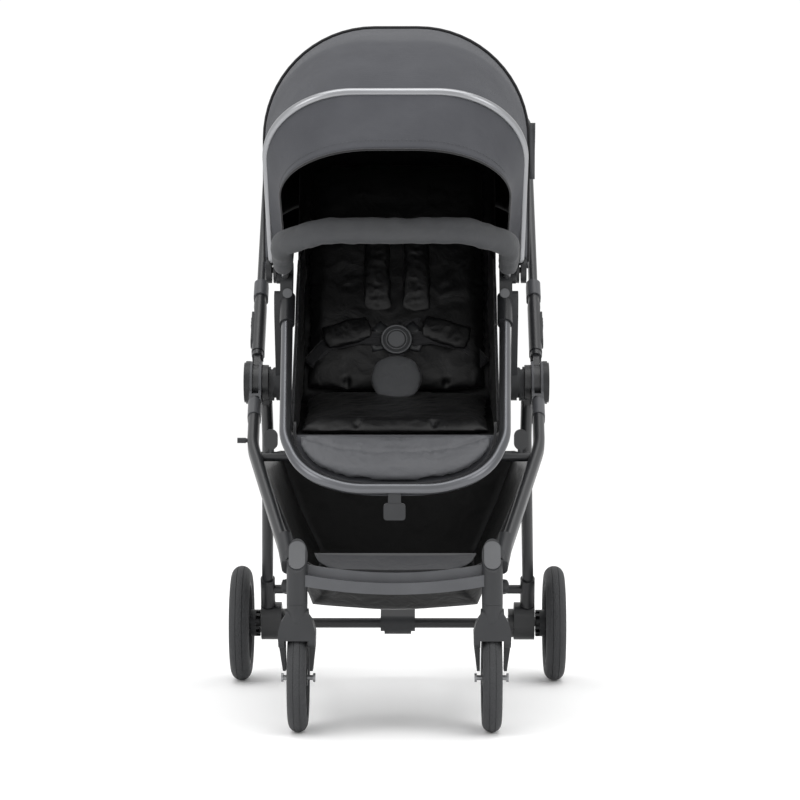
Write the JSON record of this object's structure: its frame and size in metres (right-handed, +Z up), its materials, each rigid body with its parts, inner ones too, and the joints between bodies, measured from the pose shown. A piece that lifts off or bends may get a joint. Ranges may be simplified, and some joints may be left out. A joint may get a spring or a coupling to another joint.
{
  "type": "baby stroller",
  "caption": "Folding baby stroller with reclining bucket seat, canopy, padded bumper bar, storage basket, telescopic push bar, swivelling front wheels and a foot brake.",
  "frame": {"origin": "on the floor under the centre of the bounding box", "axes": "+Z up, +X to the right of someone standing in front of the stroller, -Y is the direction the child faces"},
  "size_m": [0.6, 0.872, 1.147],
  "materials": {
    "frame_paint": "matte dark grey powder coat",
    "dark_plastic": "fine-grained moulded plastic",
    "black_plastic": "fine-grained moulded plastic",
    "grey_plastic": "satin moulded plastic",
    "steel": "plain satin steel",
    "rim_plastic": "moulded plastic",
    "tyre": "matte foam-filled rubber with fine shoulder ribs",
    "ring_metal": "dark anodised gunmetal, glossy",
    "grip": "soft matte foam sleeve",
    "canopy_fabric": "mid dark grey woven polyester",
    "liner_fabric": "near-black satin nylon",
    "webbing": "woven black webbing"
  },
  "bodies": {
    "frame": {"front_legs": "frame_paint", "front_posts": "dark_plastic", "post_caps": "grey_plastic", "front_crossmember": "dark_plastic", "hub_housings": "dark_plastic", "hub_covers": "black_plastic", "hub_bolts": "steel", "seat_receivers": "dark_plastic", "accessory_peg": "dark_plastic", "basket": "liner_fabric", "basket_bar": "frame_paint"},
    "caster_left": {"caster_fork_left": "dark_plastic", "front_axle_left": "steel"},
    "caster_right": {"caster_fork_right": "dark_plastic", "front_axle_right": "steel"},
    "front_wheel_left": {"front_tyre_left": "tyre", "front_rim_left": "rim_plastic"},
    "front_wheel_right": {"front_tyre_right": "tyre", "front_rim_right": "rim_plastic"},
    "rear_frame": {"rear_legs": "frame_paint", "rear_axle_tube": "frame_paint", "axle_housings": "dark_plastic"},
    "brake_pedal_body": {"brake_pedal": "dark_plastic"},
    "brake_pin_left_body": {"brake_pin_left": "steel"},
    "brake_pin_right_body": {"brake_pin_right": "steel"},
    "rear_wheel_left": {"rear_tyre_left": "tyre", "rear_rim_left": "rim_plastic", "brake_cog_left": "black_plastic"},
    "rear_wheel_right": {"rear_tyre_right": "tyre", "rear_rim_right": "rim_plastic", "brake_cog_right": "black_plastic"},
    "handle_base": {"handle_lowers": "frame_paint", "handle_collars": "dark_plastic"},
    "handle_top": {"handle_bar": "frame_paint", "handle_grip": "grip"},
    "trigger_left": {"fold_trigger_left": "dark_plastic"},
    "trigger_right": {"fold_trigger_right": "dark_plastic"},
    "rails_outer": {"side_rails_outer": "frame_paint"},
    "rails_inner": {"side_rails_inner": "steel"},
    "seat_base": {"seat_adapters": "dark_plastic"},
    "seat": {"seat_brackets": "dark_plastic", "seat_sockets": "black_plastic", "seat_ring": "ring_metal", "seat_shell": "liner_fabric", "seat_pad": "liner_fabric", "foot_pad": "canopy_fabric", "crotch_pad": "liner_fabric", "shoulder_pads": "liner_fabric", "harness_straps": "webbing", "buckle_body": "dark_plastic", "apron_buckle": "dark_plastic"},
    "buckle_press": {"buckle_button": "grey_plastic"},
    "bumper": {"bumper_bar": "steel", "bumper_cover": "canopy_fabric"},
    "bumper_release": {"bumper_buttons": "grey_plastic"},
    "canopy": {"canopy_rear_shell": "canopy_fabric", "canopy_front_shell": "canopy_fabric", "canopy_bow": "ring_metal", "canopy_hinges": "black_plastic"}
  },
  "joints": [
    {"name": "caster_swivel_left", "type": "hinge", "parent": "frame", "child": "caster_left", "pos_m": [-0.153, -0.39, 0.19], "axis": [0, 0, 1], "continuous": true},
    {"name": "front_wheel_spin_left", "type": "hinge", "parent": "caster_left", "child": "front_wheel_left", "pos_m": [-0.153, -0.35, 0.086], "axis": [1, 0, 0], "continuous": true},
    {"name": "caster_swivel_right", "type": "hinge", "parent": "frame", "child": "caster_right", "pos_m": [0.153, -0.39, 0.19], "axis": [0, 0, 1], "continuous": true},
    {"name": "front_wheel_spin_right", "type": "hinge", "parent": "caster_right", "child": "front_wheel_right", "pos_m": [0.153, -0.35, 0.086], "axis": [1, 0, 0], "continuous": true},
    {"name": "rear_fold", "type": "hinge", "parent": "frame", "child": "rear_frame", "pos_m": [0, -0.033, 0.545], "axis": [1, 0, 0], "range_deg": [-34, 0]},
    {"name": "handle_fold", "type": "hinge", "parent": "frame", "child": "handle_base", "pos_m": [0, -0.033, 0.545], "axis": [1, 0, 0], "range_deg": [0, 136]},
    {"name": "rails_outer_fold", "type": "hinge", "parent": "frame", "child": "rails_outer", "pos_m": [0, -0.344, 0.23], "axis": [1, 0, 0], "range_deg": [-17, 0]},
    {"name": "rails_inner_fold", "type": "hinge", "parent": "rear_frame", "child": "rails_inner", "pos_m": [0, 0.19961, 0.16839], "axis": [1, 0, 0], "range_deg": [0, 17]},
    {"name": "rear_wheel_spin_left", "type": "hinge", "parent": "rear_frame", "child": "rear_wheel_left", "pos_m": [-0.282, 0.24, 0.103], "axis": [1, 0, 0], "continuous": true},
    {"name": "rear_wheel_spin_right", "type": "hinge", "parent": "rear_frame", "child": "rear_wheel_right", "pos_m": [0.282, 0.24, 0.103], "axis": [1, 0, 0], "continuous": true},
    {"name": "brake_press", "type": "hinge", "parent": "rear_frame", "child": "brake_pedal_body", "pos_m": [0, 0.24, 0.103], "axis": [-1, 0, 0], "range_deg": [0, 20]},
    {"name": "brake_pin_slide_left", "type": "slide", "parent": "rear_frame", "child": "brake_pin_left_body", "axis": [-1, 0, 0], "range_m": [0, 0.006]},
    {"name": "brake_pin_slide_right", "type": "slide", "parent": "rear_frame", "child": "brake_pin_right_body", "axis": [1, 0, 0], "range_m": [0, 0.006]},
    {"name": "handle_telescope", "type": "slide", "parent": "handle_base", "child": "handle_top", "axis": [0, 0.6751, 0.7377], "range_m": [-0.1, 0]},
    {"name": "fold_trigger_slide_left", "type": "slide", "parent": "handle_base", "child": "trigger_left", "axis": [0, 0.6751, 0.7377], "range_m": [0, 0.008], "stiffness_N_per_m": 300, "springref_m": -0.002},
    {"name": "fold_trigger_slide_right", "type": "slide", "parent": "handle_base", "child": "trigger_right", "axis": [0, 0.6751, 0.7377], "range_m": [0, 0.008], "stiffness_N_per_m": 300, "springref_m": -0.002},
    {"name": "seat_lift", "type": "slide", "parent": "frame", "child": "seat_base", "axis": [0, 0, 1], "range_m": [0, 0.08]},
    {"name": "seat_tilt", "type": "hinge", "parent": "seat_base", "child": "seat", "pos_m": [0, -0.033, 0.545], "axis": [-1, 0, 0], "range_deg": [0, 25]},
    {"name": "canopy_fold", "type": "hinge", "parent": "seat", "child": "canopy", "pos_m": [0, -0.075, 0.735], "axis": [1, 0, 0], "range_deg": [-70, 0]},
    {"name": "bumper_pull", "type": "slide", "parent": "seat", "child": "bumper", "axis": [0, -0.9401, 0.341], "range_m": [0, 0.08]},
    {"name": "bumper_release_press", "type": "slide", "parent": "seat", "child": "bumper_release", "axis": [0, 1, 0], "range_m": [0, 0.004], "stiffness_N_per_m": 300, "springref_m": -0.002},
    {"name": "buckle_press_slide", "type": "slide", "parent": "seat", "child": "buckle_press", "axis": [0, 0.9375, -0.3479], "range_m": [0, 0.001], "stiffness_N_per_m": 400, "springref_m": -0.002}
  ],
  "couplings": [
    {"joint": "handle_fold", "follows": "rear_fold", "ratio": -4},
    {"joint": "rails_outer_fold", "follows": "rear_fold", "ratio": 0.5},
    {"joint": "rails_inner_fold", "follows": "rear_fold", "ratio": -0.5},
    {"joint": "brake_pin_slide_left", "follows": "brake_press", "m_per_rad": 0.017179},
    {"joint": "brake_pin_slide_right", "follows": "brake_press", "m_per_rad": 0.017179}
  ]
}
